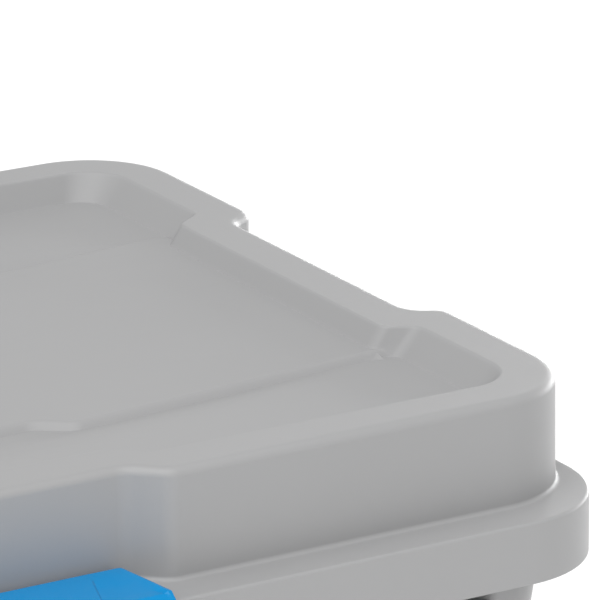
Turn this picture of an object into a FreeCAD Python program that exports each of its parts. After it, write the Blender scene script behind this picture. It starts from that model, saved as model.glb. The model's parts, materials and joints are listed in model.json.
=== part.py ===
"""Moulded plastic storage tote with a hinged one-piece lid and a wide front latch.

Millimetres. +Z is up, +X runs along the long side and the latch is on the front, at -Y.
The origin is on the resting plane, below the middle of the tote.
"""
import FreeCAD, Part
import os
from math import cos, radians, sin, tan

# ---- driving dimensions ----
lid_length = 600.0
lid_width = 400.0
brim_radius = 46.0
wall = 3.0
lid_wall = 3.0
brim_top = 300.0
skirt_height = 25.0
crown_height = 43.0

# crown: the tall stepped box on top of the lid
crown_side_ledge = 6.4
crown_front_ledge = 17.5
crown_radius = 41.0
crown_step_x = 13.0
crown_step_y = 11.5
back_step_start = 64.5
back_step_end = 73.0
front_step_start = 69.0
front_step_end = 76.0
long_step_start = 94.0
long_step_end = 107.0
step_round = 6.0

# stacking recess in the crown's top
rim_width_x = 21.6
rim_width_y = 21.0
recess_depth = 11.0
recess_run_x = 9.5
recess_run_y = 6.5
recess_radius = 20.0
recess_back_start = 74.0
recess_back_end = 83.0
recess_front_start = 83.0
recess_front_end = 90.0
recess_long_start = 97.0
recess_long_end = 110.0
recess_step_round = 4.0

# middle of the recess: a dished floor with a raised panel that is set back at the front and back
dish_depth = 7.0
dish_half_x = 248.0
dish_full_y = 88.0
dish_flat_y = 120.0
panel_rise = 3.0
panel_half_x = 262.0
panel_half_y = 88.0
panel_step_y = 11.0
panel_step_start = 107.0
panel_step_end = 120.0
panel_corner = 3.0

# ribs on the lid's underside
lid_rib_thickness = 2.0
lid_rib_low = 318.0
lid_rib_half_x = 245.0
lid_rib_half_y = 144.0
lid_ribs_x = (-160.0, -80.0, 0.0, 80.0, 160.0)
lid_ribs_y = (-60.0, 0.0, 60.0)

# tub
tub_half_x = 281.0
tub_half_y = 181.0
tub_radius = 19.0
tub_taper = 30.0
tub_top = brim_top - lid_wall - 0.3
column_width = 27.0
column_step = 6.0
panel_recess = 12.0
foot_step = 4.0
foot_gap_half_y = 95.0
flange_gap = 2.0
flange_lip = 16.0
band_z = 258.0
band_thickness = 3.0
rib_thickness = 3.0
rib_reach = 8.0
rib_low = 34.0
long_ribs = (-200.0, -120.0, -40.0, 40.0, 120.0, 200.0)
short_ribs = (-95.0, 95.0)

# hand grips under the band at both short ends
grip_half_y = 58.0
grip_reach = 25.0
grip_low = 236.0
grip_wall = 3.0

# rear hinge
hinge_y = 203.0
hinge_z = 268.0
hinge_radius = 5.0
hinge_stations = {"left": -170.0, "right": 170.0}
knuckle_width = 16.0
knuckle_gap = 0.4
knuckle_arm_height = 10.0
hinge_pin_radius = 2.0
hinge_pin_head = 3.8
hinge_pin_head_length = 2.0
running_clearance = 0.05
press_overlap = 0.02
lid_open_angle = 105.0
stop_gap = 0.3

# front latch
latch_axis_y = -176.3
latch_axis_z = 303.6
latch_barrel = 3.2
latch_back_half = 90.0
latch_front_half = 95.0
latch_front_y = -208.0
latch_leg_wall = 3.2
latch_low = 256.0
latch_chamfer = 3.6
latch_nib_top = 267.0
latch_nib_height = 5.0
latch_ear_centre = 28.0
latch_ear_width = 12.0
latch_ear_gap = 0.4
latch_pin_radius = 1.2
latch_pin_length = 27.0
latch_gap_half = 13.0
catch_face_y = -199.0
catch_gap = 0.4
catch_low = 268.0
catch_height = 5.0
catch_half_x = 72.0

V = FreeCAD.Vector
X_AXIS = V(1, 0, 0)


# ---- shared geometry helpers ----
def rounded_wire(corners, z):
    """Closed wire through (x, y, radius) corners at height z, each corner a tangent arc."""
    starts, ends, middles = [], [], []
    count = len(corners)
    for i, (x, y, r) in enumerate(corners):
        here = V(x, y, z)
        before = (V(corners[i - 1][0], corners[i - 1][1], z) - here).normalize()
        following = corners[(i + 1) % count]
        after = (V(following[0], following[1], z) - here).normalize()
        half_angle = before.getAngle(after) / 2
        reach = r / tan(half_angle)
        bisector = (before + after).normalize()
        centre = here + bisector * (r / sin(half_angle))
        starts.append(here + before * reach)
        ends.append(here + after * reach)
        middles.append(centre - bisector * r)
    edges = []
    for i in range(count):
        edges.append(Part.Arc(starts[i], middles[i], ends[i]).toShape())
        edges.append(Part.LineSegment(ends[i], starts[(i + 1) % count]).toShape())
    return Part.Wire(edges)


def box_outline(half_x, half_y, radius):
    """Corners of a plain rounded rectangle."""
    return [(half_x, -half_y, radius), (half_x, half_y, radius),
            (-half_x, half_y, radius), (-half_x, -half_y, radius)]


def stepped_outline(half_x, half_y, radius, step_x, step_y, back_step, front_step, long_step, blend):
    """Corners of a rounded rectangle whose four sides are set back between slanted steps.

    The steps are (start, end) distances from the middle of a side: back_step and front_step on the
    back and front halves of the short sides, long_step on the long sides.
    """
    halves = []
    for short_step in (back_step, front_step):
        quarter = [(half_x - step_x, short_step[0], blend), (half_x, short_step[1], blend),
                   (half_x, half_y, radius),
                   (long_step[1], half_y, blend), (long_step[0], half_y - step_y, blend)]
        halves.append(quarter + [(-x, y, r) for x, y, r in reversed(quarter)])
    back, front = halves
    return back + [(-x, -y, r) for x, y, r in front]


def loft(lower, low_z, upper, high_z):
    """Straight-sided solid between two outlines with the same number of corners."""
    return Part.makeLoft([rounded_wire(lower, low_z), rounded_wire(upper, high_z)], True, True)


def prism(outline, low_z, high_z):
    """Vertical solid over an outline."""
    face = Part.Face(rounded_wire(outline, low_z))
    return face.extrude(V(0, 0, high_z - low_z))


def box(x_range, y_range, z_range):
    """Box from its lowest and highest values along each axis."""
    size = [high - low for low, high in (x_range, y_range, z_range)]
    return Part.makeBox(*size, V(x_range[0], y_range[0], z_range[0]))


def profile_along_x(points, x_low, x_high):
    """Solid of a (y, z) polygon run along X."""
    corners = [V(x_low, y, z) for y, z in points]
    face = Part.Face(Part.makePolygon(corners + corners[:1]))
    return face.extrude(V(x_high - x_low, 0, 0))


def profile_along_y(points, y_low, y_high):
    """Solid of an (x, z) polygon run along Y."""
    corners = [V(x, y_low, z) for x, z in points]
    face = Part.Face(Part.makePolygon(corners + corners[:1]))
    return face.extrude(V(0, y_high - y_low, 0))


def rod(radius, x_low, x_high, y, z):
    """Cylinder along X."""
    return Part.makeCylinder(radius, x_high - x_low, V(x_low, y, z), X_AXIS)


def joined(first, *others):
    """Union with coplanar seams removed."""
    return first.fuse(list(others)).removeSplitter()


def mirrored_in_x(shape):
    """The same shape on the other side of the YZ plane."""
    return shape.mirror(V(0, 0, 0), X_AXIS)


# ---- lid ----
crown_half_x = lid_length / 2 - crown_side_ledge
crown_half_y = lid_width / 2 - crown_front_ledge
crown_top = brim_top + crown_height
recess_floor = crown_top - recess_depth
skirt_low = brim_top - skirt_height


def crown_outline(inset):
    """Stepped outline of the crown, moved inwards by inset."""
    return stepped_outline(
        crown_half_x - inset, crown_half_y - inset, crown_radius - inset, crown_step_x, crown_step_y,
        (back_step_start - inset / 2, back_step_end - inset / 2),
        (front_step_start - inset / 2, front_step_end - inset / 2),
        (long_step_start - inset / 2, long_step_end - inset / 2), step_round)


def recess_outline(depth_share, grow):
    """Stepped outline of the stacking recess: depth_share 0 at the rim, 1 at the floor."""
    run_x = rim_width_x + recess_run_x * depth_share - grow
    run_y = rim_width_y + recess_run_y * depth_share - grow
    shift = grow / 2
    return stepped_outline(
        crown_half_x - run_x, crown_half_y - run_y, recess_radius - 6 * depth_share + grow,
        crown_step_x - 2 * depth_share, crown_step_y,
        (recess_back_start - shift, recess_back_end - shift),
        (recess_front_start - shift, recess_front_end - shift),
        (recess_long_start - shift, recess_long_end - shift), recess_step_round)


def recess_solid(grow):
    """The stacking recess, or the same space grown by the lid's wall."""
    low = recess_floor - grow
    return loft(recess_outline(1, grow), low, recess_outline(0, grow), crown_top + 1)


def sagging_section(y, level, sag, low):
    """Closed (x, z) wire at y between a level line low and a top edge that sags in the middle."""
    left, right = V(-dish_half_x, y, level), V(dish_half_x, y, level)
    upper = Part.Arc(left, V(0, y, level - sag), right).toShape()
    corner_right, corner_left = V(dish_half_x, y, low), V(-dish_half_x, y, low)
    rest = [(right, corner_right), (corner_right, corner_left), (corner_left, left)]
    return Part.Wire([upper] + [Part.LineSegment(a, b).toShape() for a, b in rest])


def dish_solid(drop):
    """Space of the dished floor below the level of the channels, moved down by drop."""
    level = recess_floor - drop
    front = Part.Face(sagging_section(-dish_full_y, level, dish_depth, level + 1))
    back = Part.Face(sagging_section(dish_full_y, level, dish_depth, level + 1))
    run = dish_flat_y - dish_full_y
    middle = front.extrude(V(0, 2 * dish_full_y, 0))
    front_ramp = front.extrude(V(0, -run, dish_depth))
    back_ramp = back.extrude(V(0, run, dish_depth))
    return middle.fuse([front_ramp, back_ramp])


def panel_outline(inset):
    """Corners of the raised panel, moved inwards by inset."""
    half_y = panel_half_y - inset
    middle_y = half_y - panel_step_y
    upper = [(panel_half_x - inset, half_y, panel_corner), (panel_step_end, half_y, step_round),
             (panel_step_start, middle_y, step_round), (-panel_step_start, middle_y, step_round),
             (-panel_step_end, half_y, step_round), (inset - panel_half_x, half_y, panel_corner)]
    return upper + [(-x, -y, r) for x, y, r in upper]


def panel_solid(drop, inset):
    """Raised panel on the dished floor, moved down by drop and inwards by inset."""
    low = recess_floor - 2 * dish_depth
    level = recess_floor + panel_rise - drop
    plan = prism(panel_outline(inset), low, level)
    above = Part.Face(sagging_section(-panel_half_y - 1, level, dish_depth, level + 1))
    return plan.cut(above.extrude(V(0, 2 * panel_half_y + 2, 0)))


def recess_space(drop, inset):
    """The whole hollow in the lid's top, or the same space moved down and inwards for the underside."""
    return recess_solid(drop).fuse(dish_solid(drop)).cut(panel_solid(drop, inset))


def lid_underside_ribs():
    """Crossed ribs that hang below the dished floor."""
    heights = (lid_rib_low, recess_floor + panel_rise - 1)
    half = lid_rib_thickness / 2
    parts = [box((x - half, x + half), (-lid_rib_half_y, lid_rib_half_y), heights) for x in lid_ribs_x]
    parts += [box((-lid_rib_half_x, lid_rib_half_x), (y - half, y + half), heights) for y in lid_ribs_y]
    return parts


def lid_hinge_knuckles():
    """Two knuckles at each hinge station, hanging from the rear skirt."""
    parts = []
    outer = hinge_y + hinge_radius
    inner = hinge_y - hinge_radius
    arm = [(inner, hinge_z), (outer, hinge_z), (outer, hinge_z + knuckle_arm_height),
           (lid_width / 2 - 0.5, skirt_low + knuckle_arm_height), (inner, skirt_low + lid_wall)]
    for station in hinge_stations.values():
        for side in (-1, 1):
            middle = station + side * knuckle_width
            low = middle - knuckle_width / 2 + knuckle_gap
            high = middle + knuckle_width / 2 - knuckle_gap
            parts.append(profile_along_x(arm, low, high))
            parts.append(rod(hinge_radius, low, high, hinge_y, hinge_z))
    return parts


def latch_ears():
    """Two ears on the front ledge that carry the latch pins."""
    parts = []
    foot = [(latch_axis_y - latch_barrel, brim_top - 1), (latch_axis_y + latch_barrel, brim_top - 1),
            (latch_axis_y + latch_barrel, latch_axis_z), (latch_axis_y - latch_barrel, latch_axis_z)]
    for side in (-1, 1):
        low = side * latch_ear_centre - latch_ear_width / 2
        parts.append(profile_along_x(foot, low, low + latch_ear_width))
        parts.append(rod(latch_barrel, low, low + latch_ear_width, latch_axis_y, latch_axis_z))
    return parts


def make_lid():
    """One-piece lid: skirt, ledge, stepped crown, rim and dished stacking recess."""
    half_x, half_y = lid_length / 2, lid_width / 2
    brim = prism(box_outline(half_x, half_y, brim_radius), skirt_low, brim_top)
    crown = prism(crown_outline(0), brim_top, crown_top)
    outside = joined(brim, crown)
    recess = recess_space(0, 0)
    inner_brim = prism(box_outline(half_x - lid_wall, half_y - lid_wall, brim_radius - lid_wall),
                       skirt_low, brim_top - lid_wall)
    under_crown = prism(crown_outline(lid_wall), brim_top - lid_wall, crown_top - lid_wall)
    hollow = inner_brim.fuse(under_crown.cut(recess_space(lid_wall, lid_wall)))
    shell = outside.cut(hollow)
    shell = joined(shell, *lid_underside_ribs()).cut(recess)
    shell = joined(shell, *lid_hinge_knuckles(), *latch_ears())
    bore = rod(hinge_pin_radius + running_clearance, -lid_length / 2, lid_length / 2, hinge_y, hinge_z)
    ear_bore = rod(latch_pin_radius - press_overlap, -50, 50, latch_axis_y, latch_axis_z)
    return shell.cut(bore).cut(ear_bore)


# ---- tub ----
def tub_outline(z, inset, step=panel_recess):
    """Stepped outline of the tub wall at height z; the walls lean in towards the base."""
    taper = tub_taper * (1 - z / tub_top)
    half_x = tub_half_x - taper
    half_y = tub_half_y - taper
    short_step = (half_y - column_width - column_step, half_y - column_width)
    long_step = (half_x - column_width - column_step, half_x - column_width)
    return stepped_outline(half_x - inset, half_y - inset, tub_radius - inset, step, step,
                           short_step, short_step, long_step, 3.0)


def wall_y(z):
    """Outer face of the set-back long wall at height z."""
    return tub_half_y - tub_taper * (1 - z / tub_top) - panel_recess


def wall_x(z):
    """Outer face of the set-back short wall at height z."""
    return wall_y(z) + tub_half_x - tub_half_y


def tub_flange():
    """Rim flange with a turned-down lip, hidden under the lid's skirt."""
    inset = lid_wall + flange_gap
    half_x, half_y = lid_length / 2 - inset, lid_width / 2 - inset
    outer = box_outline(half_x, half_y, brim_radius - inset)
    inner = box_outline(half_x - wall, half_y - wall, brim_radius - inset - wall)
    block = prism(outer, tub_top - flange_lip, tub_top)
    under = prism(inner, tub_top - flange_lip, tub_top - wall)
    return block.cut(under)


def stiffening_band():
    """Horizontal rib around the set-back walls, out to the corner columns."""
    z = band_z + band_thickness
    return loft(tub_outline(band_z, 0, 1.0), band_z, tub_outline(z, 0, 1.0), z)


def vertical_ribs():
    """Upright ribs on the long and short walls."""
    parts = []
    heights = (rib_low, band_z + 1)
    for x in long_ribs:
        profile = [(wall_y(z) - 1, z) for z in heights]
        profile += [(wall_y(z) + rib_reach, z) for z in reversed(heights)]
        rib = profile_along_x(profile, x - rib_thickness / 2, x + rib_thickness / 2)
        parts += [rib, rib.mirror(V(0, 0, 0), V(0, 1, 0))]
    for y in short_ribs:
        profile = [(wall_x(z) - 1, z) for z in heights]
        profile += [(wall_x(z) + rib_reach, z) for z in reversed(heights)]
        rib = profile_along_y(profile, y - rib_thickness / 2, y + rib_thickness / 2)
        parts += [rib, mirrored_in_x(rib)]
    return parts


def hand_grip():
    """Down-facing cup on the right-hand short wall that fingers reach up into."""
    reach = wall_x(band_z) + grip_reach
    wall_side = wall_x(grip_low) - 1
    top = band_z + band_thickness
    cup = box((wall_side, reach), (-grip_half_y, grip_half_y), (grip_low, top))
    space = box((wall_side - 1, reach - grip_wall),
                (-grip_half_y + grip_wall, grip_half_y - grip_wall), (grip_low - 1, band_z))
    return cup.cut(space)


def latch_catch():
    """Bar below the front rim that the latch snaps under, with gussets to the wall."""
    top = catch_low + catch_height
    bar = box((-catch_half_x, catch_half_x), (catch_face_y, -wall_y(top) + 1), (catch_low, top))
    gusset = [(catch_face_y + 6, catch_low + 1), (-wall_y(catch_low) + 1, catch_low + 1),
              (-wall_y(band_z) + 1, band_z), (-wall_y(band_z) - rib_reach, band_z)]
    parts = [bar]
    for x in (-catch_half_x + 1.5, -24.0, 24.0, catch_half_x - 1.5):
        parts.append(profile_along_x(gusset, x - rib_thickness / 2, x + rib_thickness / 2))
    return parts


def hinge_bracket(station):
    """Rear bracket with three knuckles and the sloped stop that the open lid leans on."""
    stop = hinge_radius + stop_gap
    lean = radians(lid_open_angle)
    tip = hinge_radius

    def stop_height(y):
        return -(stop - y * cos(lean)) / sin(lean)

    inner = wall_y(hinge_z) - 2 - hinge_y
    edge = [(inner, -stop), (-0.7, -stop), (-0.7, stop_height(-0.7)), (tip, stop_height(tip)),
            (tip, stop_height(tip) - 3.5), (inner - 1, -stop - 18)]
    base = [(hinge_y + y, hinge_z + z) for y, z in edge]
    half = 2.5 * knuckle_width
    parts = [profile_along_x(base, station - half, station + half)]
    arm = [(hinge_y + inner, hinge_z - stop - 1), (hinge_y, hinge_z - stop - 1),
           (hinge_y, hinge_z + hinge_radius), (hinge_y + inner, hinge_z + hinge_radius)]
    for index in (-2, 0, 2):
        middle = station + index * knuckle_width
        low, high = middle - knuckle_width / 2, middle + knuckle_width / 2
        parts.append(profile_along_x(arm, low, high))
        parts.append(rod(hinge_radius, low, high, hinge_y, hinge_z))
    return parts


def make_tub():
    """Open-topped tub: corner columns, ribs, rim flange, grips, hinge brackets, catch, two runners."""
    outside = loft(tub_outline(0, 0), 0, tub_outline(tub_top, 0), tub_top)
    grip = hand_grip()
    parts = [tub_flange(), stiffening_band(), grip, mirrored_in_x(grip)]
    parts += vertical_ribs()
    parts += latch_catch()
    for station in hinge_stations.values():
        parts += hinge_bracket(station)
    body = joined(outside, *parts)
    cavity = loft(tub_outline(wall, wall), wall, tub_outline(tub_top, wall), tub_top)
    lip = loft(tub_outline(tub_top, wall), tub_top, tub_outline(tub_top + 1, wall), tub_top + 1)
    raised = box((-tub_half_x, tub_half_x),
                 (-foot_gap_half_y - wall, foot_gap_half_y + wall), (0, wall + foot_step))
    under = box((-tub_half_x, tub_half_x),
                (-foot_gap_half_y, foot_gap_half_y), (-1, foot_step))
    body = body.cut(cavity.fuse(lip).cut(raised)).cut(under)
    for station in hinge_stations.values():
        low = station - 3 * knuckle_width
        press = hinge_pin_radius - press_overlap
        body = body.cut(rod(press, low, low + 6 * knuckle_width, hinge_y, hinge_z))
    return body.removeSplitter()


# ---- latch and pins ----
def latch_profile():
    """Cross-section (y, z) of the latch: flat top, front leg, finger lip and nib."""
    top = latch_axis_z + latch_barrel
    under = top - latch_leg_wall
    front = latch_front_y
    inner = front + latch_leg_wall
    nib_tip = catch_face_y - catch_gap
    nib_low = latch_nib_top - latch_nib_height
    return [(latch_axis_y, top), (front + latch_chamfer, top), (front + 0.5, top - latch_chamfer),
            (front + 0.5, nib_low), (front, latch_low), (inner, latch_low),
            (inner + 0.5, nib_low), (nib_tip, nib_low + 1), (nib_tip, latch_nib_top),
            (inner + 0.5, latch_nib_top + 1), (inner + 0.5, under - 2), (inner + 2.5, under),
            (latch_axis_y, under)]


def make_latch():
    """Wide latch that swings up about its back edge."""
    half = latch_front_half + 1
    body = joined(profile_along_x(latch_profile(), -half, half),
                  rod(latch_barrel, -half, half, latch_axis_y, latch_axis_z))
    back = latch_axis_y + latch_barrel + 1
    front = latch_front_y - 1
    plan = [V(-latch_back_half, back, 0), V(latch_back_half, back, 0),
            V(latch_front_half, front, 0), V(-latch_front_half, front, 0)]
    plan_face = Part.Face(Part.makePolygon(plan + plan[:1]))
    body = body.common(plan_face.extrude(V(0, 0, crown_top)))
    reach = latch_barrel + latch_ear_gap
    slot_y = (latch_axis_y - reach - 0.6, back + 1)
    slot_z = (brim_top - 1, latch_axis_z + latch_barrel + 1)
    cuts = [box((-latch_gap_half, latch_gap_half), slot_y, slot_z)]
    for side in (-1, 1):
        low = side * latch_ear_centre - latch_ear_width / 2 - latch_ear_gap
        cuts.append(box((low, low + latch_ear_width + 2 * latch_ear_gap), slot_y, slot_z))
    pin_reach = latch_ear_centre + latch_pin_length / 2 + 1
    cuts.append(rod(latch_pin_radius + running_clearance, -pin_reach, pin_reach,
                    latch_axis_y, latch_axis_z))
    return body.cut(cuts)


def make_latch_pin(side):
    """Short steel pin through one ear and the latch barrel beside it."""
    low = side * latch_ear_centre - latch_pin_length / 2
    return rod(latch_pin_radius, low, low + latch_pin_length, latch_axis_y, latch_axis_z)


def make_hinge_pin(station):
    """Headed steel pin through the knuckles of one hinge station."""
    half = 2.5 * knuckle_width
    shaft = rod(hinge_pin_radius, station - half, station + half, hinge_y, hinge_z)
    head = rod(hinge_pin_head, station + half, station + half + hinge_pin_head_length,
               hinge_y, hinge_z)
    return joined(shaft, head)


def main():
    """Build every piece and write one STEP file for each."""
    os.makedirs("parts", exist_ok=True)
    nodes = {"tub": make_tub(), "lid": make_lid(), "front_latch": make_latch()}
    for name, station in hinge_stations.items():
        nodes["hinge_pin_" + name] = make_hinge_pin(station)
    for name, side in (("left", -1), ("right", 1)):
        nodes["latch_pin_" + name] = make_latch_pin(side)
    for name, shape in nodes.items():
        bounds = shape.BoundBox
        print(name, "valid", shape.isValid(), "solids", len(shape.Solids),
              "volume", round(shape.Volume / 1000, 2), "cm3",
              [round(v, 1) for v in (bounds.XMin, bounds.XMax, bounds.YMin, bounds.YMax,
                                     bounds.ZMin, bounds.ZMax)])
        shape.exportStep("parts/" + name + ".step")


main()
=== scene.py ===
"""Looks of the lidded storage tote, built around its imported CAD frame.

Shapes are worked out in millimetres, in the frame's own axes (+Z up, latch at -Y, hinge at +Y),
and become metres when a mesh is made.
"""
import bmesh
import bpy
import json
from math import atan2, cos, pi, radians, sin, tan
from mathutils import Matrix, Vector
from mathutils.geometry import delaunay_2d_cdt


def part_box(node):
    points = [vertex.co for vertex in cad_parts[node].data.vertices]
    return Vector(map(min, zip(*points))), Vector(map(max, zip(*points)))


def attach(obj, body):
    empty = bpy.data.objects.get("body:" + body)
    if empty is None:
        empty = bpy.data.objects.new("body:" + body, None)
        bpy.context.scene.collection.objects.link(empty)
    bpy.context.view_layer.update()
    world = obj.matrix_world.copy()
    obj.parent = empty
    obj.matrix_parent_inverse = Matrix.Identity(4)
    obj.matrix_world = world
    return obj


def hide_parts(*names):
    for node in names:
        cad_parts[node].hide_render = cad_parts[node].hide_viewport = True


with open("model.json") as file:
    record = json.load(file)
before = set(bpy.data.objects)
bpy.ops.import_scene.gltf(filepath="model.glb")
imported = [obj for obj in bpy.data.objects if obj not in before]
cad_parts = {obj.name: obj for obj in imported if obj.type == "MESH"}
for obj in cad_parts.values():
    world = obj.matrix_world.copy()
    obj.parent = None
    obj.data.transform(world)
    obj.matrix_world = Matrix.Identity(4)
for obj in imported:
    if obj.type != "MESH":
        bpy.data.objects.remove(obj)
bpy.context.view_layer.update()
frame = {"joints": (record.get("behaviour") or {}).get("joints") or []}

MM = 0.001


def box_mm(node):
    """Lowest and highest corners of a CAD node, in millimetres."""
    low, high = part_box(node)
    return low / MM, high / MM


def joint_mm(name):
    """Place of a joint in the frame, in millimetres."""
    found = [joint for joint in frame["joints"] if joint["name"] == name]
    return Vector(found[0]["pos_m"]) / MM


lid_low, lid_high = box_mm("lid")
tub_low, tub_high = box_mm("tub")
latch_low, latch_high = box_mm("front_latch")
hinge = joint_mm("lid_hinge")
latch_axis = joint_mm("latch_hinge")

# ---- driving dimensions, in millimetres ----
# A name that ends in _x or _y measures along that axis. A pair such as back_step gives the start and
# end of a slanted step, as distances from the middle of its side.
wall = 3.0
smallest_radius = 0.3

# lid: skirt, ledge and crown
brim_half_x = lid_high.x
brim_half_y = -lid_low.y
brim_radius = 46.0
brim_spread = 2.5
brim_edge = 1.3
ledge_x = 6.4
ledge_y = 17.5
crown_height = 43.0
skirt_height = 25.0
skirt_draft = 0.2
skirt_edge = 0.8
crown_top = lid_high.z
brim_top = crown_top - crown_height
skirt_low = brim_top - skirt_height
crown_half_x = brim_half_x - ledge_x
crown_half_y = brim_half_y - ledge_y
crown_radius = 41.0
crown_draft = 0.6
crown_foot = 1.8
crown_foot_reach = 3.4
crown_edge = 3.5
crown_edge_reach = 5.2
crown_step_x = 13.0
crown_step_y = 11.5
back_step = (64.5, 73.0)
front_step = (69.0, 76.0)
long_step = (94.0, 107.0)
step_round = 10.0

# stacking recess in the lid; a ring's share is 0 at the rim, 1 at the wall's foot, more on the floor
rim_width_x = 21.6
rim_width_y = 21.0
recess_run_x = 9.5
recess_run_y = 6.5
recess_depth = 11.0
recess_radius = 20.0
recess_radius_loss = 6.0
recess_step_loss = 2.0
recess_back_step = (74.0, 83.0)
recess_front_step = (83.0, 90.0)
recess_long_step = (97.0, 110.0)
recess_step_round = 6.0
recess_floor = crown_top - recess_depth
rim_edge_share = 0.1
recess_foot_blend = 0.3
last_share = 1.24

# dished floor and raised panel of the lid
dish_depth = 7.0
dish_half_x = 248.0
dish_full_y = 88.0
dish_flat_y = 120.0
dish_ramp_blend = 6.0
dish_blend = 0.12
floor_clear_x = 244.0
floor_clear_y = 138.0
panel_rise = 3.0
panel_slope = 1.3
panel_round = 1.6
panel_radius = 6.0
panel_half_x = 262.0
panel_half_y = 88.0
panel_step_y = 11.0
panel_step = (107.0, 120.0)
lid_rib_half = 1.0
lid_rib_bevel = 0.4
lid_rib_low = 318.0
lid_rib_half_x = 245.0
lid_rib_half_y = 144.0
lid_ribs_x = (-160.0, -80.0, 0.0, 80.0, 160.0)
lid_ribs_y = (-60.0, 0.0, 60.0)

# tub
tub_top = tub_high.z
tub_half_x = 281.0
tub_half_y = 181.0
tub_radius = 19.0
tub_taper = 30.0
column_width = 27.0
column_step = 6.0
column_round = 3.0
wall_set_back = 12.0
foot_step = 4.0
foot_gap_half_y = 95.0
base_height = 14.0
foot_blend = 12.0
flange_inset = 5.0
flange_lip = 16.0
flange_round = 1.0
flange_edge = 1.2
flange_spread = 2.0
flange_clear = 4.0
band_low = 258.0
band_high = 261.0
band_inset = 1.0
band_edge = 0.6
rib_half = 1.5
rib_bevel = 0.5
rib_low = 34.0
rib_reach = 8.0
long_ribs = (-200.0, -120.0, -40.0, 40.0, 120.0, 200.0)
short_ribs = (-95.0, 95.0)
grip_half_y = 58.0
grip_low = 236.0
grip_reach = 25.0
grip_radius = 8.0
grip_inner_radius = 5.0
grip_bevel = 0.7
catch_z = (268.0, 273.0)
catch_half_x = 72.0
catch_gussets_x = (rib_half - catch_half_x, -24.0, 24.0, catch_half_x - rib_half)
gusset_inset = 6.0

# rear hinge
hinge_radius = 5.0
hinge_stations = {"hinge_pin_left": -170.0, "hinge_pin_right": 170.0}
knuckle_width = 16.0
knuckle_gap = 0.4
bracket_gap = 0.3
stop_gap = 0.3
stop_lean = 105.0
stop_back = 0.7
stop_lip = 3.5
bracket_drop = 18.0
bracket_bevel = 0.5
pin_radius = 2.0
pin_head_radius = 3.8
pin_head_length = 2.0
pin_chamfer = 0.5

# latch; the crease, valley and hollow shape the ends of its top
latch_barrel = 3.2
latch_top = latch_high.z
latch_wall = 3.2
latch_chamfer = 3.6
latch_face_inset = 0.5
latch_nib_reach = 8.6
latch_lip_height = 6.0
latch_end_back = 90.0
latch_end_slant = 5.0
crease_back = 76.3
crease_slope = 0.352
crease_back_y = -174.2
crease_front_y = -204.4
valley_depth = 1.1
valley_run = (174, 190)
hollow_back = 76.5
hollow_slope = 0.875
hollow_bend_y = -185.6
hollow_front_y = -202.4
hollow_gap = 1.8
field_half = 57.6
field_z = (266.0, 295.0)
field_edge = 0.6
field_sink = 0.7
ear_centre = 28.0
ear_width = 12.0
ear_gap = 0.4
latch_pin_radius = 1.2
latch_pin_length = 27.0
latch_pin_chamfer = 0.3
latch_gap_half = 13.0

# mesh density: steps in an arc, spacing of inner points, and shares and depths that get a ring
corner_steps = 28
step_steps = 8
edge_steps = 5
panel_steps = 6
column_steps = 4
rib_steps = 48
top_grid = 5.0
underside_grid = 9.0
base_spacing = 20.0
recess_shares = (0.35, 0.58, 0.64, 0.7, 0.76, 0.82, 0.88, 0.94, 1.0, 1.06, 1.12, last_share)
flank_depths = (0.0, 0.9, 1.8, 2.6, 3.4, 4.2, 5.4)


# ---- outlines ----
def corner_points(before, here, after, radius, steps, inset):
    """Points of one rounded corner; on a straight side they are spread by radius along it."""
    way_in = (here - before).normalized()
    way_out = (after - here).normalized()
    normal_in = Vector((-way_in.y, way_in.x))
    normal_out = Vector((-way_out.y, way_out.x))
    here = here + (normal_in + normal_out) * (inset / (1 + normal_in.dot(normal_out)))
    turn = atan2(way_in.x * way_out.y - way_in.y * way_out.x, way_in.dot(way_out))
    if abs(turn) < 0.01:
        return [here + way_in * (radius * (2 * k / steps - 1)) for k in range(steps + 1)]
    side = 1 if turn > 0 else -1
    radius = max(radius - side * inset, smallest_radius)
    spoke = normal_in * (-side * radius)
    centre = here - way_in * (radius * tan(abs(turn) / 2)) - spoke
    points = []
    for k in range(steps + 1):
        angle = turn * k / steps
        turned = Vector((spoke.x * cos(angle) - spoke.y * sin(angle),
                         spoke.x * sin(angle) + spoke.y * cos(angle)))
        points.append(centre + turned)
    return points


def outline(corners, inset=0.0, side_steps=9):
    """Closed outline of counter-clockwise (x, y, radius, steps) corners, moved inwards by inset."""
    arcs = []
    for i, (x, y, radius, steps) in enumerate(corners):
        before = Vector(corners[i - 1][:2])
        after = Vector(corners[(i + 1) % len(corners)][:2])
        arcs.append(corner_points(before, Vector((x, y)), after, radius, steps, inset))
    points = []
    for i, arc in enumerate(arcs):
        points += arc
        end = arcs[(i + 1) % len(arcs)][0]
        points += [arc[-1].lerp(end, k / (side_steps + 1)) for k in range(1, side_steps + 1)]
    return points


def all_round(back, front):
    """Whole outline from its right quarters, counter-clockwise from the right side."""
    upper = back + [(-x, y, radius, steps) for x, y, radius, steps in reversed(back)]
    lower = front + [(-x, y, radius, steps) for x, y, radius, steps in reversed(front)]
    return upper + [(-x, -y, radius, steps) for x, y, radius, steps in lower]


def stepped_corners(half_x, half_y, radius, step_x, step_y, back, front, long, blend):
    """Rounded rectangle whose sides are set back between slanted steps."""
    quarters = [[(half_x - step_x, short[0], blend, step_steps),
                 (half_x, short[1], blend, step_steps),
                 (half_x, half_y, radius, corner_steps),
                 (long[1], half_y, blend, step_steps),
                 (long[0], half_y - step_y, blend, step_steps)] for short in (back, front)]
    return all_round(*quarters)


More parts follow.
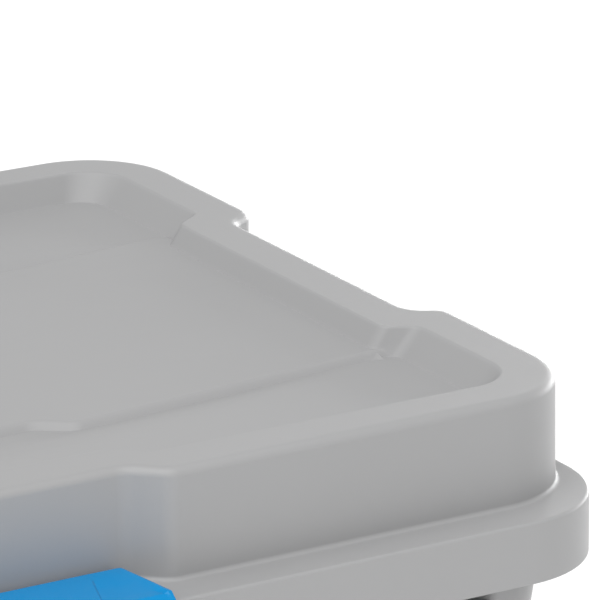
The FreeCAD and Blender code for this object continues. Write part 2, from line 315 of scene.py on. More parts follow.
def rounded_path(points):
    """Open (inset, z) path through (inset, z, radius) points, with arcs at the inner points."""
    corners = [Vector(point[:2]) for point in points]
    path = [corners[0]]
    for i in range(1, len(points) - 1):
        path += corner_points(corners[i - 1], corners[i], corners[i + 1], points[i][2], edge_steps, 0)
    return path + [corners[-1]]


def raised(points, z):
    """A flat outline as a ring of points at height z."""
    return [Vector((point.x, point.y, z)) for point in points]


# ---- meshes: every shape is a pair of lists, (vertices, faces) ----
def strip(rings):
    """Side faces through rings of the same length; they face outwards where the rings go up."""
    count = len(rings[0])
    vertices = [point for ring in rings for point in ring]
    faces = []
    for level in range(len(rings) - 1):
        for k in range(count):
            after = (k + 1) % count
            low, high = level * count, (level + 1) * count
            faces.append((low + k, low + after, high + after, high + k))
    return vertices, faces


def fill(shape, start, count, height, loops, grid, upward):
    """Closes a ring of the shape with a surface whose height is height(x, y, lift).

    loops are (outline, which points to keep, lift); they stay as edges of the surface.
    grid is a list of (x, y, lift) points.
    """
    vertices, faces = shape
    plan = [vertices[start + k].to_2d() for k in range(count)]
    lifts = [0.0] * count
    edges = []
    for loop, kept, lift in loops:
        number = {}
        for k in range(len(loop)):
            if kept[k]:
                number[k] = len(plan)
                plan.append(loop[k])
                lifts.append(lift)
        following = [(k, (k + 1) % len(loop)) for k in number]
        edges += [(number[k], number[after]) for k, after in following if after in number]
    plan += [Vector((x, y)) for x, y, lift in grid]
    lifts += [lift for x, y, lift in grid]
    made, _, triangles, sources, _, _ = delaunay_2d_cdt(plan, edges, [list(range(count))], 1, 1e-5)
    place = []
    for point, source in zip(made, sources):
        if source and min(source) < count:
            place.append(start + min(source))
            continue
        lift = lifts[min(source)] if source else 0.0
        place.append(len(vertices))
        vertices.append(Vector((point.x, point.y, height(point.x, point.y, lift))))
    for a, b, c in triangles:
        turn = (made[b] - made[a]).cross(made[c] - made[a])
        order = (a, b, c) if (turn > 0) == upward else (a, c, b)
        faces.append(tuple(place[i] for i in order))


def merged(shapes):
    """Several shapes as one."""
    vertices, faces = [], []
    for more_vertices, more_faces in shapes:
        start = len(vertices)
        vertices += more_vertices
        faces += [tuple(start + i for i in face) for face in more_faces]
    return vertices, faces


def prism(profile, axis, low, high, bevel=0.8):
    """Closed prism of a flat profile run along an axis, with its sharp edges rounded."""
    order = {"x": (2, 0, 1), "y": (0, 2, 1), "z": (0, 1, 2)}[axis]
    bm = bmesh.new()
    ends = []
    for distance in (low, high):
        corners = [(a, b, distance) for a, b in profile]
        ends.append([bm.verts.new([corner[i] for i in order]) for corner in corners])
    bm.faces.new(ends[0])
    bm.faces.new(ends[1])
    for k in range(len(profile)):
        bm.faces.new((ends[0][k - 1], ends[0][k], ends[1][k], ends[1][k - 1]))
    bmesh.ops.recalc_face_normals(bm, faces=bm.faces)
    sharp = [edge for edge in bm.edges if edge.calc_face_angle(0) > radians(35)]
    bmesh.ops.bevel(bm, geom=sharp, offset=bevel, segments=2, profile=0.5, affect="EDGES",
                    clamp_overlap=True)
    bmesh.ops.dissolve_degenerate(bm, dist=0.01, edges=bm.edges)
    bm.verts.index_update()
    vertices = [vertex.co.copy() for vertex in bm.verts]
    faces = [tuple(vertex.index for vertex in face.verts) for face in bm.faces]
    bm.free()
    return vertices, faces


def block(x, y, z, bevel=0.8):
    """Rounded block from its lowest and highest values along each axis."""
    return prism([(x[0], y[0]), (x[1], y[0]), (x[1], y[1]), (x[0], y[1])], "z", z[0], z[1], bevel)


def turned(profile, y, z, around=40):
    """Closed body of (x, radius) points turned about an axis along X."""
    rings = []
    for x, radius in profile:
        angles = [2 * pi * k / around for k in range(around)]
        rings.append([Vector((x, y + radius * cos(a), z + radius * sin(a))) for a in angles])
    vertices, faces = strip(rings)
    last = len(vertices) - around
    faces.append(tuple(reversed(range(around))))
    faces.append(tuple(range(last, last + around)))
    return vertices, faces


def arc(y, z, radius, start, end, steps=14):
    """(y, z) points of an arc between two angles in degrees."""
    angles = [radians(start + (end - start) * k / steps) for k in range(steps + 1)]
    return [(y + radius * cos(a), z + radius * sin(a)) for a in angles]


def smooth_step(value, start, end):
    """0 before start, 1 after end, turning smoothly between them."""
    share = min(max((value - start) / (end - start), 0.0), 1.0)
    return share * share * (3 - 2 * share)


def smooth_max(a, b, blend):
    """The larger value, with a rounded change-over as wide as blend."""
    return max(a, b) + max(blend - abs(a - b), 0.0) ** 2 / (4 * blend)


# ---- lid ----
brim_corners = stepped_corners(brim_half_x, brim_half_y, brim_radius, 0, 0,
                               back_step, front_step, long_step, brim_spread)
crown_corners = stepped_corners(crown_half_x, crown_half_y, crown_radius, crown_step_x,
                                crown_step_y, back_step, front_step, long_step, step_round)


def recess_ring(share, grow, z):
    """Ring on the wall of the stacking recess: share is 0 at the rim and 1 at the floor."""
    run_x = rim_width_x + recess_run_x * share - grow
    run_y = rim_width_y + recess_run_y * share - grow
    steps = [[distance - grow / 2 for distance in step]
             for step in (recess_back_step, recess_front_step, recess_long_step)]
    corners = stepped_corners(
        crown_half_x - run_x, crown_half_y - run_y, recess_radius - recess_radius_loss * share + grow,
        crown_step_x - recess_step_loss * share, crown_step_y, *steps, recess_step_round)
    return raised(outline(corners), z)


def beside_recess_wall(x, y, share, grow):
    """Distance along X from a point to the end wall of the recess; negative outside it."""
    start, end = recess_back_step if y > 0 else recess_front_step
    slant = min(max((abs(y) - start + grow / 2) / (end - start), 0.0), 1.0)
    end_x = crown_half_x - rim_width_x - recess_run_x * share + grow
    return end_x - (crown_step_x - recess_step_loss * share) * (1 - slant) - abs(x)


def dish_height(x, y):
    """Height of the dished floor: deepest in the middle, level at the ends, front and back."""
    across = max(0.0, 1 - (x / dish_half_x) ** 2)
    ramp = smooth_max(0.0, abs(y) - dish_full_y, dish_ramp_blend) / (dish_flat_y - dish_full_y)
    return recess_floor - dish_depth * smooth_max(0.0, across - ramp, dish_blend)


def panel_depth(x, y):
    """Distance of a point inside the raised panel's foot; negative outside it."""
    x, y = abs(x), abs(y)
    run = Vector((panel_step[1] - panel_step[0], panel_step_y)).normalized()
    middle_y = panel_half_y - panel_step_y
    slant = (x - panel_step[0]) * run.y - (y - middle_y) * run.x
    return min(panel_half_x - x, panel_half_y - y, max(middle_y - y, slant))


def panel_lift(depth):
    """Rise of the panel's flank at a distance inside its foot, with a rounded top."""
    slope = max(0.0, depth * panel_slope)
    return panel_rise + slope - smooth_max(slope, panel_rise, panel_round)


def floor_height(x, y):
    """Height of the recess floor, with the raised panel."""
    return dish_height(x, y) + panel_lift(panel_depth(x, y))


def panel_loops(shift, share, depths):
    """Outlines of the panel at the given depths inside its foot, cut off at the end walls."""
    middle_y = panel_half_y - panel_step_y
    right = [(panel_half_x, panel_half_y, panel_radius, panel_steps),
             (panel_step[1], panel_half_y, step_round, panel_steps),
             (panel_step[0], middle_y, step_round, panel_steps)]
    corners = right + [(-x, y, radius, steps) for x, y, radius, steps in reversed(right)]
    corners += [(-x, -y, radius, steps) for x, y, radius, steps in corners]
    loops = []
    for depth in depths:
        points = outline(corners, shift + depth, 30)
        kept = [beside_recess_wall(x, y, share, shift) > 2 for x, y in points]
        loops.append((points, kept, panel_lift(depth)))
    return loops


def floor_grid(spacing, shift, clear):
    """Points over the recess floor, away from its edge and from the panel's flank."""
    points = []
    count_x, count_y = int(lid_rib_half_x / spacing), int(lid_rib_half_y / spacing)
    for i in range(-count_x, count_x + 1):
        for j in range(-count_y, count_y + 1):
            x, y = i * spacing, j * spacing
            depth = panel_depth(x, y) - shift
            near_edge = abs(y) > floor_clear_y or abs(x) > floor_clear_x
            if near_edge or clear[0] < depth < clear[1]:
                continue
            points.append((x, y, panel_rise if depth > 0 else 0.0))
    return points


def lid_rings():
    """Rings of the lid's shell, from the underside of the floor round to its top."""
    wall_top = crown_top - wall
    share = 1 - recess_depth / (recess_depth + 1 + wall)
    rings = [recess_ring(1, wall, recess_floor - wall), recess_ring(share, wall, wall_top)]
    rings += [raised(outline(crown_corners, wall), z) for z in (wall_top, brim_top - wall)]
    skirt = rounded_path([(wall, brim_top - wall, 0), (wall, skirt_low, skirt_edge),
                          (0.0, skirt_low, skirt_edge), (skirt_draft, brim_top, brim_edge),
                          (skirt_draft + wall, brim_top, 0)])
    rings += [raised(outline(brim_corners, inset), z) for inset, z in skirt]
    crown = rounded_path([(-crown_foot_reach, brim_top, 0), (0.0, brim_top, crown_foot),
                          (crown_draft, crown_top, crown_edge), (crown_edge_reach, crown_top, 0)])
    rings += [raised(outline(crown_corners, inset), z) for inset, z in crown]
    edge = rim_edge_share
    for share in (-edge, -edge / 2, 0.0, edge / 2, edge):
        rings.append(recess_ring(share, 0, crown_top - recess_depth * (share + edge) ** 2 / (4 * edge)))
    for share in recess_shares:
        ring = recess_ring(share, 0, 0)
        for point in ring:
            level = floor_height(point.x, point.y)
            point.z = smooth_max(crown_top - recess_depth * share, level, recess_foot_blend)
        rings.append(ring)
    return rings


def lid_shell():
    """Skirt, ledge, stepped crown, rim and dished floor as one closed skin."""
    rings = lid_rings()
    shape = strip(rings)
    count = len(rings[0])
    last = len(shape[0]) - count

    def top(x, y, lift):
        return dish_height(x, y) + lift

    def underside(x, y, lift):
        return dish_height(x, y) - wall + lift

    fill(shape, last, count, top, panel_loops(0, last_share, (-1.5,) + flank_depths + (7.0,)),
         floor_grid(top_grid, 0, (-4.0, 10.0)), True)
    fill(shape, 0, count, underside, panel_loops(wall, 1, flank_depths),
         floor_grid(underside_grid, wall, (-5.0, 10.0)), False)
    return shape


def rib_top(x, y):
    """Height inside the thickness of the lid's floor, where an underside rib ends."""
    return dish_height(x, y) + (0.8 if panel_depth(x, y) > 4 else -1.2)


def lid_ribs():
    """Crossed ribs below the dished floor."""
    shapes = []
    shares = [1 - 2 * k / rib_steps for k in range(rib_steps + 1)]
    for x in lid_ribs_x:
        line = [lid_rib_half_y * share for share in shares]
        profile = [(-lid_rib_half_y, lid_rib_low), (lid_rib_half_y, lid_rib_low)]
        profile += [(y, rib_top(x, y)) for y in line]
        shapes.append(prism(profile, "x", x - lid_rib_half, x + lid_rib_half, lid_rib_bevel))
    for y in lid_ribs_y:
        line = [lid_rib_half_x * share for share in shares]
        profile = [(-lid_rib_half_x, lid_rib_low), (lid_rib_half_x, lid_rib_low)]
        profile += [(x, rib_top(x, y)) for x in line]
        shapes.append(prism(profile, "y", y - lid_rib_half, y + lid_rib_half, lid_rib_bevel))
    return shapes


def lid_knuckles():
    """Two knuckles at each hinge station, hanging from the rear skirt."""
    inner, outer = hinge.y - hinge_radius, hinge.y + hinge_radius
    profile = arc(hinge.y, hinge.z, hinge_radius, -180, 0)
    profile += [(outer, hinge.z + 10), (brim_half_y - 0.5, skirt_low + 10), (inner, skirt_low + wall)]
    shapes = []
    for station in hinge_stations.values():
        for side in (-1, 1):
            middle = station + side * knuckle_width
            reach = knuckle_width / 2 - knuckle_gap
            shapes.append(prism(profile, "x", middle - reach, middle + reach, 0.6))
    return shapes


def latch_ears():
    """Two ears on the front ledge that carry the latch pins."""
    foot = brim_top - 1
    profile = [(latch_axis.y + latch_barrel, foot)]
    profile += arc(latch_axis.y, latch_axis.z, latch_barrel, 0, 180)
    profile.append((latch_axis.y - latch_barrel, foot))
    half = ear_width / 2
    return [prism(profile, "x", side * ear_centre - half, side * ear_centre + half, 0.5)
            for side in (-1, 1)]


def make_lid():
    """The whole lid as one shape."""
    return merged([lid_shell()] + lid_ribs() + lid_knuckles() + latch_ears())


# ---- tub ----
def tub_corners(z, step):
    """Stepped outline of the tub's wall at height z; the walls lean in towards the base."""
    lean = tub_taper * (1 - z / tub_top)
    half_x, half_y = tub_half_x - lean, tub_half_y - lean
    column_y, column_x = half_y - column_width, half_x - column_width
    quarter = [(half_x - step, foot_gap_half_y, 1.0, 2),
               (half_x - step, column_y - column_step, column_round, column_steps),
               (half_x, column_y, column_round, column_steps),
               (half_x, half_y, tub_radius, corner_steps),
               (column_x, half_y, column_round, column_steps),
               (column_x - column_step, half_y - step, column_round, column_steps)]
    return all_round(quarter, quarter)


def flange_corners(inset):
    """Plain rounded outline of the rim flange, with points that match the tub's outline."""
    half_x, half_y = brim_half_x - inset, brim_half_y - inset
    end_x = brim_half_x - brim_radius - flange_clear
    end_y = brim_half_y - brim_radius - flange_clear
    quarter = [(half_x, foot_gap_half_y, 1.0, 2),
               (half_x, end_y - column_step, flange_spread, column_steps),
               (half_x, end_y, flange_spread, column_steps),
               (half_x, half_y, brim_radius - inset, corner_steps),
               (end_x, half_y, flange_spread, column_steps),
               (end_x - column_step, half_y, flange_spread, column_steps)]
    return all_round(quarter, quarter)


def foot_rise(y):
    """Height of the base above its two runners."""
    return foot_step * min(max(foot_gap_half_y + 1 - abs(y), 0.0) / 2, 1.0)


def wall_y(z):
    """Outer face of the set-back long wall at height z."""
    return tub_half_y - tub_taper * (1 - z / tub_top) - wall_set_back


def wall_x(z):
    """Outer face of the set-back short wall at height z."""
    return wall_y(z) + tub_half_x - tub_half_y


def tub_ring(z, inset, base=0.0):
    """Ring on the tub's wall; near the base it follows the runners."""
    points = outline(tub_corners(z, wall_set_back), inset)
    share = max(0.0, 1 - (z - base) / foot_blend)
    return [Vector((point.x, point.y, z + foot_rise(point.y) * share)) for point in points]


def tub_rings():
    """Rings of the tub's shell, from the base up its outside, over the rim and down its inside."""
    rings = [tub_ring(z, inset) for z, inset in ((0.0, 2.2), (0.2, 1.3), (0.65, 0.65), (1.3, 0.2),
                                                 (2.2, 0.0), (base_height, 0.0))]
    under = tub_top - wall
    lip = tub_top - flange_lip
    levels = [under * k / 6 for k in range(1, 6)]
    rings += [tub_ring(level, 0.0) for level in levels]
    rings += [tub_ring(under - 2.5, 0.0), tub_ring(under - 0.7, -0.7), tub_ring(under, -2.5)]
    inner = flange_inset + wall
    path = rounded_path([(inner + 2, under, 0), (inner, under, flange_round),
                         (inner, lip, flange_round), (flange_inset, lip, flange_round),
                         (flange_inset, tub_top, flange_edge), (inner, tub_top, 0)])
    rings += [raised(outline(flange_corners(inset)), z) for inset, z in path]
    rings += [tub_ring(tub_top, wall - 1.5), tub_ring(tub_top - 0.45, wall - 0.45),
              tub_ring(tub_top - 1.5, wall)]
    rings += [tub_ring(level, wall) for level in reversed(levels)]
    rings += [tub_ring(wall + z, wall + inset, wall)
              for z, inset in ((base_height, 0.0), (3.0, 0.0), (0.9, 0.9), (0.0, 3.0))]
    return rings


def base_grid():
    """Points over the tub's base, with rows that follow the edges of the runners."""
    rows = [j * base_spacing for j in range(-6, 7)]
    rows += [side * (foot_gap_half_y + shift) for side in (-1, 1) for shift in (-1, 0, 1)]
    return [(i * base_spacing, y, 0.0) for i in range(-11, 12) for y in rows]


def tub_shell():
    """Walls, base, runners and rim flange as one closed skin."""
    rings = tub_rings()
    shape = strip(rings)
    count = len(rings[0])

    def outside(x, y, lift):
        return foot_rise(y)

    def inside(x, y, lift):
        return wall + foot_rise(y)

    fill(shape, 0, count, outside, [], base_grid(), False)
    last = len(rings) * count - count
    fill(shape, last, count, inside, [], base_grid(), True)
    return shape


def tub_band():
    """Flat horizontal rib around the set-back walls."""
    section = ((wall_set_back, wall / 2, band_low), (band_inset, band_edge, band_low),
               (band_inset, 0.0, band_low + band_edge), (band_inset, 0.0, band_high - band_edge),
               (band_inset, band_edge, band_high), (wall_set_back, wall / 2, band_high))
    rings = [raised(outline(tub_corners(band_low, step), inset), z) for step, inset, z in section]
    return strip(rings + rings[:1])


def tub_ribs():
    """Upright ribs on the long and short walls, leaning in with the walls."""
    shapes = []
    low, high = rib_low, band_low + 1
    for side in (-1, 1):
        for face, axis, places in ((wall_y, "x", long_ribs), (wall_x, "y", short_ribs)):
            profile = [(side * (face(low) - 1), low), (side * (face(low) + rib_reach), low),
                       (side * (face(high) + rib_reach), high), (side * (face(high) - 1), high)]
            shapes += [prism(profile, axis, place - rib_half, place + rib_half, rib_bevel)
                       for place in places]
    return shapes


def hand_grips():
    """Down-facing cups on both short walls that fingers reach up into."""
    shapes = []
    reach = wall_x(band_low) + grip_reach
    root = wall_x(grip_low) - 1
    inner_half = grip_half_y - wall
    plate = [(root, -grip_half_y, smallest_radius, 1), (reach, -grip_half_y, grip_radius, 8),
             (reach, grip_half_y, grip_radius, 8), (root, grip_half_y, smallest_radius, 1)]
    cup = plate + [(root, inner_half, smallest_radius, 1),
                   (reach - wall, inner_half, grip_inner_radius, 8),
                   (reach - wall, -inner_half, grip_inner_radius, 8),
                   (root, -inner_half, smallest_radius, 1)]
    for side in (-1, 1):
        for corners, low, high in ((cup, grip_low, band_low + 1), (plate, band_low, band_high)):
            plan = [(side * point.x, point.y) for point in outline(corners, 0, 0)]
            shapes.append(prism(plan, "z", low, high, grip_bevel))
    return shapes


def latch_catch():
    """Bar below the front rim that the latch snaps under, with gussets to the wall."""
    low, high = catch_z
    front = tub_low.y
    shapes = [block((-catch_half_x, catch_half_x), (front, -wall_y(high) + 1), catch_z)]
    gusset = [(front + gusset_inset, low + 1), (-wall_y(low) + 1, low + 1),
              (-wall_y(band_low) + 1, band_low), (-wall_y(band_low) - rib_reach, band_low)]
    shapes += [prism(gusset, "x", x - rib_half, x + rib_half, rib_bevel) for x in catch_gussets_x]
    return shapes


def hinge_bracket(station):
    """Rear bracket with three knuckles and the sloped stop that the open lid leans on."""
    stop = hinge_radius + stop_gap
    lean = radians(stop_lean)
    inner = wall_y(hinge.z) - 2 - hinge.y

    def stop_height(y):
        return -(stop - y * cos(lean)) / sin(lean)

    edge = [(inner, -stop), (-stop_back, -stop), (-stop_back, stop_height(-stop_back)),
            (hinge_radius, stop_height(hinge_radius)),
            (hinge_radius, stop_height(hinge_radius) - stop_lip), (inner - 1, -stop - bracket_drop)]
    base = [(hinge.y + y, hinge.z + z) for y, z in edge]
    half = 2.5 * knuckle_width - bracket_gap
    shapes = [prism(base, "x", station - half, station + half, bracket_bevel)]
    arm = [(hinge.y + inner, hinge.z - stop - 1), (hinge.y, hinge.z - stop - 1)]
    arm += arc(hinge.y, hinge.z, hinge_radius, -90, 90)
    arm.append((hinge.y + inner, hinge.z + hinge_radius))
    for index in (-2, 0, 2):
        middle = station + index * knuckle_width
        reach = knuckle_width / 2 - bracket_gap
        shapes.append(prism(arm, "x", middle - reach, middle + reach, bracket_bevel))
    return shapes


def make_tub():
    """The whole tub as one shape."""
    shapes = [tub_shell(), tub_band()] + tub_ribs() + hand_grips() + latch_catch()
    for station in hinge_stations.values():
        shapes += hinge_bracket(station)
    return merged(shapes)


# ---- latch ----
def latch_section():
    """Corners of the latch's (y, z) section: plate, barrel, front leg, nib and finger lip."""
    axis_y, axis_z = latch_axis.y, latch_axis.z
    front = latch_low.y
    face = front + latch_face_inset
    inner = face + latch_wall
    low = latch_low.z
    nib = front + latch_nib_reach
    top_lines = [(y, latch_top, 1.0, 1) for y in range(-180, -201, -4)]
    field_lines = [(face, z, field_edge, 2) for z in reversed(field_z)]
    around = [(front + latch_chamfer, latch_top, 1.2, 4), (face, latch_top - latch_chamfer, 1.2, 4)]
    around += field_lines
    lip = low + latch_lip_height
    around += [(face, lip, 1.0, 2), (front, low, 0.9, 4), (front + latch_wall, low, 0.9, 4),
               (inner, lip, 1.0, 3), (nib, low + 7, 0.5, 3), (nib, low + 11, 0.5, 3),
               (inner, low + 12, 0.8, 3), (inner, latch_top - latch_wall - 2, 1.0, 3),
               (inner + 2, latch_top - latch_wall, 1.0, 3),
               (axis_y - latch_barrel, axis_z, 0.3, 1),
               (axis_y - latch_barrel, axis_z - latch_barrel, 2.9, 8),
               (axis_y + latch_barrel, axis_z - latch_barrel, 3.1, 8),
               (axis_y + latch_barrel, latch_top, 3.1, 8)]
    return around + top_lines


def latch_crease(y):
    """Distance from the middle of the crease that ends the latch's flat top."""
    return crease_back + crease_slope * (max(y, crease_front_y) - crease_back_y)


def latch_valley(y):
    """Depth of the hollow beside the crease; it runs out towards the back."""
    return valley_depth * smooth_step(-y, *valley_run)


def latch_ramp(y):
    """Distance from the middle where the hollow starts to rise to the latch's end."""
    rise = max(0.0, hollow_bend_y - max(y, hollow_front_y)) * hollow_slope
    return max(hollow_back + rise, latch_crease(y) + hollow_gap)


def latch_edge(y):
    """Distance from the middle of the latch's slanted end."""
    back = latch_axis.y + latch_barrel
    return latch_end_back + latch_end_slant * (back - y) / (back - latch_low.y)


def latch_stations():
    """Mesh lines across half of the latch: (distance from the middle at y, hollow at y, inset)."""
    lines = (8.0, 18.0, 28.0, 38.0, 48.0, field_half - field_edge, field_half + field_edge, 60.0)
    flat = [(lambda y, x=x: x, lambda y: 0.0, 0.0) for x in lines]
    end = [(latch_crease, lambda y: 0.0, 0.0),
           (lambda y: latch_crease(y) + 1.2, latch_valley, 0.0),
           (latch_ramp, latch_valley, 0.0),
           (lambda y: latch_edge(y) - 1.9, lambda y: 0.1, 0.0),
           (lambda y: latch_edge(y) - 1.0, lambda y: 0.2, 0.0),
           (lambda y: latch_edge(y) - 0.3, lambda y: 0.2, 0.3),
           (latch_edge, lambda y: 0.2, 1.0)]
    return flat + end


def field_depth(x, z):
    """Depth of the shallow field on the latch's front."""
    low, high = field_z
    across = 1 - smooth_step(abs(x), field_half - field_edge, field_half + field_edge)
    upright = smooth_step(z, low - field_edge, low + field_edge)
    upright *= 1 - smooth_step(z, high - field_edge, high + field_edge)
    return field_sink * across * upright


def latch_ring(side, station):
    """One section of the latch at a station on the given side."""
    distance, hollow, inset = station
    ring = []
    for point in outline(latch_section(), inset, 1):
        y, z = point
        x = side * distance(y)
        share = min(max((z - latch_top + latch_chamfer) / latch_chamfer, 0.0), 1.0)
        if y < latch_low.y + 1.6 and inset == 0:
            y += field_depth(x, z)
        ring.append(Vector((x, y, z - hollow(point.x) * share)))
    return ring


def make_latch():
    """Latch plate, leg and barrel as one closed skin."""
    half = latch_stations()
    middle = (lambda y: 0.0, lambda y: 0.0, 0.0)
    rings = [latch_ring(-1, station) for station in reversed(half)]
    rings += [latch_ring(1, station) for station in [middle] + half]
    vertices, faces = strip(rings)
    count = len(rings[0])
    last = len(vertices) - count
    faces.append(tuple(reversed(range(count))))
    faces.append(tuple(range(last, last + count)))
    return vertices, faces


def latch_cutters():
    """Space of the ears and of the gap between them, cut from the latch's barrel."""
    reach = latch_barrel + ear_gap + 0.6
    y = (latch_axis.y - reach, latch_high.y + 1)
    z = (brim_top - 1, latch_top + 1)
    shapes = [block((-latch_gap_half, latch_gap_half), y, z, 0.4)]
    half = ear_width / 2 + ear_gap
    for side in (-1, 1):
        shapes.append(block((side * ear_centre - half, side * ear_centre + half), y, z, 0.4))
    return merged(shapes)


# ---- pins ----
def make_hinge_pin(station):
    """Headed pin through the knuckles of one hinge station."""
    low = station - 2.5 * knuckle_width
    high = station + 2.5 * knuckle_width
    profile = [(low, pin_radius - pin_chamfer), (low + pin_chamfer, pin_radius), (high, pin_radius),
               (high, pin_head_radius - 0.4), (high + 0.3, pin_head_radius),
               (high + pin_head_length - 0.7, pin_head_radius),
               (high + pin_head_length - 0.2, pin_head_radius - 0.5),
               (high + pin_head_length, pin_head_radius - 1.4)]
    return turned(profile, hinge.y, hinge.z)


def make_latch_pin(side):
    """Short pin through one ear and the barrel beside it, with chamfered ends."""
    low = side * ear_centre - latch_pin_length / 2
    high = low + latch_pin_length
    edge = latch_pin_chamfer
    profile = [(low, latch_pin_radius - edge), (low + edge, latch_pin_radius),
               (high - edge, latch_pin_radius), (high, latch_pin_radius - edge)]
    return turned(profile, latch_axis.y, latch_axis.z, 24)


# ---- materials ----
def add_node(tree, kind, inputs=(), **settings):
    """A node with its settings and its unlinked inputs set."""
    node = tree.nodes.new(kind)
    for name, value in settings.items():
        setattr(node, name, value)
    for name, value in dict(inputs).items():
        node.inputs[name].default_value = value
    return node


def mapped_noise(tree, coordinates, scale, detail, low, high):
    """Noise in metres-sized coordinates, as a value between low and high."""
    noise = add_node(tree, "ShaderNodeTexNoise", {"Scale": scale, "Detail": detail})
    tree.links.new(coordinates, noise.inputs["Vector"])
    spread = add_node(tree, "ShaderNodeMapRange",
                      {"From Min": 0.3, "From Max": 0.7, "To Min": low, "To Max": high})
    tree.links.new(noise.outputs["Fac"], spread.inputs["Value"])
    return spread.outputs["Result"]


def tinted(tree, factor, dark, light):
    """Colour that runs from dark to light as factor goes from 0 to 1."""
    ramp = add_node(tree, "ShaderNodeValToRGB")
    ramp.color_ramp.elements[0].color = (*dark, 1)
    ramp.color_ramp.elements[1].color = (*light, 1)
    tree.links.new(factor, ramp.inputs["Fac"])
    return ramp.outputs["Color"]


def moulded(name, colour, roughness, grain, grain_height, gloss):
    """Moulded plastic: fine satin grain, faint flow marks and a few soft scuffs."""
    material = bpy.data.materials.new(name)
    material.use_nodes = True
    tree = material.node_tree
    shader = tree.nodes["Principled BSDF"]
    shader.inputs["IOR"].default_value = 1.5
    shader.inputs["Specular IOR Level"].default_value = gloss
    coordinates = add_node(tree, "ShaderNodeTexCoord").outputs["Object"]
    flow = mapped_noise(tree, coordinates, 7, 3, 0.0, 1.0)
    dark = [channel * 0.985 for channel in colour]
    light = [min(1.0, channel * 1.015) for channel in colour]
    tree.links.new(tinted(tree, flow, dark, light), shader.inputs["Base Color"])
    patches = mapped_noise(tree, coordinates, 26, 4, roughness - 0.03, roughness + 0.03)
    stretch = add_node(tree, "ShaderNodeMapping", {"Scale": (30, 260, 120), "Rotation": (0, 0, 0.4)})
    tree.links.new(coordinates, stretch.inputs["Vector"])
    scuff = add_node(tree, "ShaderNodeTexNoise", {"Scale": 1, "Detail": 3, "Roughness": 0.6})
    tree.links.new(stretch.outputs["Vector"], scuff.inputs["Vector"])
    worn = add_node(tree, "ShaderNodeMapRange",
                    {"From Min": 0.66, "From Max": 0.78, "To Min": 0.0, "To Max": 0.08})
    tree.links.new(scuff.outputs["Fac"], worn.inputs["Value"])
    total = add_node(tree, "ShaderNodeMath", operation="ADD")
    tree.links.new(patches, total.inputs[0])
    tree.links.new(worn.outputs["Result"], total.inputs[1])
    tree.links.new(total.outputs["Value"], shader.inputs["Roughness"])
    fine = add_node(tree, "ShaderNodeTexNoise", {"Scale": grain, "Detail": 2})
    tree.links.new(coordinates, fine.inputs["Vector"])
    bump = add_node(tree, "ShaderNodeBump", {"Strength": 0.35, "Distance": grain_height})
    tree.links.new(fine.outputs["Fac"], bump.inputs["Height"])
    tree.links.new(bump.outputs["Normal"], shader.inputs["Normal"])
    return material


def zinc_steel():
    """Zinc-plated steel with fine turning marks around the pin and dull patches."""
    material = bpy.data.materials.new("zinc_steel")
    material.use_nodes = True
    tree = material.node_tree
    shader = tree.nodes["Principled BSDF"]
    shader.inputs["Metallic"].default_value = 1.0
    coordinates = add_node(tree, "ShaderNodeTexCoord").outputs["Object"]
    cloud = mapped_noise(tree, coordinates, 420, 3, 0.0, 1.0)
    tree.links.new(tinted(tree, cloud, (0.5, 0.51, 0.53), (0.66, 0.66, 0.67)),
                   shader.inputs["Base Color"])
    tree.links.new(mapped_noise(tree, coordinates, 600, 4, 0.28, 0.42), shader.inputs["Roughness"])
    stretch = add_node(tree, "ShaderNodeMapping", {"Scale": (9000, 300, 300)})
    tree.links.new(coordinates, stretch.inputs["Vector"])
    marks = add_node(tree, "ShaderNodeTexNoise", {"Scale": 1, "Detail": 2})
    tree.links.new(stretch.outputs["Vector"], marks.inputs["Vector"])
    bump = add_node(tree, "ShaderNodeBump", {"Strength": 0.3, "Distance": 0.00003})
    tree.links.new(marks.outputs["Fac"], bump.inputs["Height"])
    tree.links.new(bump.outputs["Normal"], shader.inputs["Normal"])
    return material


def floor_paint():
    """Matt white studio floor."""
    material = bpy.data.materials.new("floor_paint")
    material.use_nodes = True
    tree = material.node_tree
    shader = tree.nodes["Principled BSDF"]
    shader.inputs["Roughness"].default_value = 0.9
    shader.inputs["Specular IOR Level"].default_value = 0.1
    coordinates = add_node(tree, "ShaderNodeTexCoord").outputs["Object"]
    cloud = mapped_noise(tree, coordinates, 2, 2, 0.0, 1.0)
    tree.links.new(tinted(tree, cloud, (0.95, 0.95, 0.95), (0.97, 0.97, 0.97)),
                   shader.inputs["Base Color"])
    return material


# ---- objects ----
def new_object(name, shape, material=None):
    """Object with a mesh in metres, with the material if one is given."""
    vertices, faces = shape
    mesh = bpy.data.meshes.new(name)
    mesh.from_pydata([point * MM for point in vertices], [], faces)
    mesh.validate()
    piece = bpy.data.objects.new(name, mesh)
    bpy.context.scene.collection.objects.link(piece)
    if material:
        mesh.materials.append(material)
    return piece


def shade(piece, angle=32):
    """Smooth shading that follows the large faces, with sharp edges above an angle."""
    piece.data.shade_smooth()
    piece.data.set_sharp_from_angle(angle=radians(angle))
    normals = piece.modifiers.new("normals", "WEIGHTED_NORMAL")
    normals.keep_sharp = True
    normals.weight = 50


def add_piece(name, shape, material, body, node):
    """A piece that rides on a body and stands for a CAD node."""
    piece = new_object(name, shape, material)
    shade(piece)
    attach(piece, body)
    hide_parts(node)
    return piece


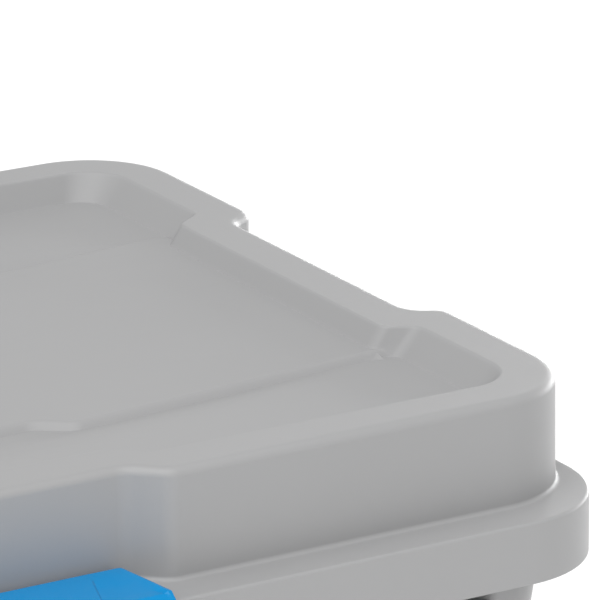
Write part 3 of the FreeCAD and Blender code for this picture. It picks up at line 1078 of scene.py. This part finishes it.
def cut(piece, shape):
    """Cuts a shape out of a piece and keeps the result as its mesh."""
    cutter = new_object("cutter", shape)
    modifier = piece.modifiers.new("cut", "BOOLEAN")
    modifier.operation = "DIFFERENCE"
    modifier.solver = "EXACT"
    modifier.object = cutter
    bpy.context.view_layer.update()
    shaped = piece.evaluated_get(bpy.context.evaluated_depsgraph_get())
    mesh = bpy.data.meshes.new_from_object(shaped)
    piece.modifiers.remove(modifier)
    piece.data = mesh
    bpy.data.objects.remove(cutter)


def build_object():
    """Makes every visible piece of the tote."""
    tub_plastic = moulded("tub_plastic", (0.36, 0.36, 0.363), 0.46, 1500, 0.00006, 0.4)
    lid_plastic = moulded("lid_plastic", (0.365, 0.365, 0.368), 0.46, 1500, 0.00006, 0.4)
    latch_plastic = moulded("latch_plastic", (0.0, 0.252, 0.585), 0.2, 1900, 0.00003, 0.25)
    steel = zinc_steel()
    add_piece("tub_moulding", make_tub(), tub_plastic, "tub", "tub")
    add_piece("lid_moulding", make_lid(), lid_plastic, "lid", "lid")
    latch = new_object("latch_moulding", make_latch(), latch_plastic)
    cut(latch, latch_cutters())
    shade(latch, 20)
    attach(latch, "latch")
    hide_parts("front_latch")
    for node, station in hinge_stations.items():
        add_piece(node + "_turned", make_hinge_pin(station), steel, "tub", node)
    for node, side in (("latch_pin_left", -1), ("latch_pin_right", 1)):
        add_piece(node + "_turned", make_latch_pin(side), steel, "lid", node)


# ---- studio: lengths in metres, apart from the floor's ----
floor_half = 9000.0
world_strength = 0.56
light_target = Vector((0.15, 0.0, 0.3))
lights = (("key", Vector((-1.8, -1.9, 4.6)), 6.0, 236), ("side", Vector((4.0, 0.9, 0.45)), 2.0, 84),
          ("rim", Vector((3.2, 2.3, 0.3)), 1.8, 84))
aim_from_corner = Vector((-0.1008, 0.08, 0.0315))
camera_turn = radians(31.262)
camera_fall = radians(18.163)
camera_distance = 2.0528
camera_lens = 326.6


def add_floor():
    """Large floor at the height that the tote stands on."""
    corners = [Vector((x * floor_half, y * floor_half, tub_low.z))
               for x, y in ((-1, -1), (1, -1), (1, 1), (-1, 1))]
    floor = new_object("studio_floor", (corners, [(0, 1, 2, 3)]), floor_paint())


def add_light(name, place, size, power):
    """Square soft light aimed at the tote's right half."""
    data = bpy.data.lights.new(name, "AREA")
    data.size = size
    data.energy = power
    light = bpy.data.objects.new(name, data)
    light.location = place
    light.rotation_euler = (light_target - light.location).to_track_quat("-Z", "Y").to_euler()
    bpy.context.scene.collection.objects.link(light)


def light_studio():
    """White surroundings, a broad key light high on the front left, and two low ones on the right."""
    world = bpy.data.worlds.new("studio")
    bpy.context.scene.world = world
    world.use_nodes = True
    background = world.node_tree.nodes["Background"]
    background.inputs["Color"].default_value = (1.0, 1.0, 1.0, 1.0)
    background.inputs["Strength"].default_value = world_strength
    for name, place, size, power in lights:
        add_light(name, place, size, power)
    bpy.context.scene.view_settings.view_transform = "Standard"


def add_camera():
    """Long lens that looks down on the lid's right front corner."""
    corner = Vector((lid_high.x, lid_low.y, lid_high.z)) * MM
    aim = corner + aim_from_corner
    ahead = Vector((sin(camera_turn) * cos(camera_fall), cos(camera_turn) * cos(camera_fall),
                    -sin(camera_fall)))
    data = bpy.data.cameras.new("camera")
    data.sensor_width = 36
    data.lens = camera_lens
    data.clip_end = 60
    camera = bpy.data.objects.new("camera", data)
    camera.location = aim - ahead * camera_distance
    camera.rotation_euler = ahead.to_track_quat("-Z", "Y").to_euler()
    bpy.context.scene.collection.objects.link(camera)
    bpy.context.scene.camera = camera


add_camera()
build_object()
add_floor()
light_studio()
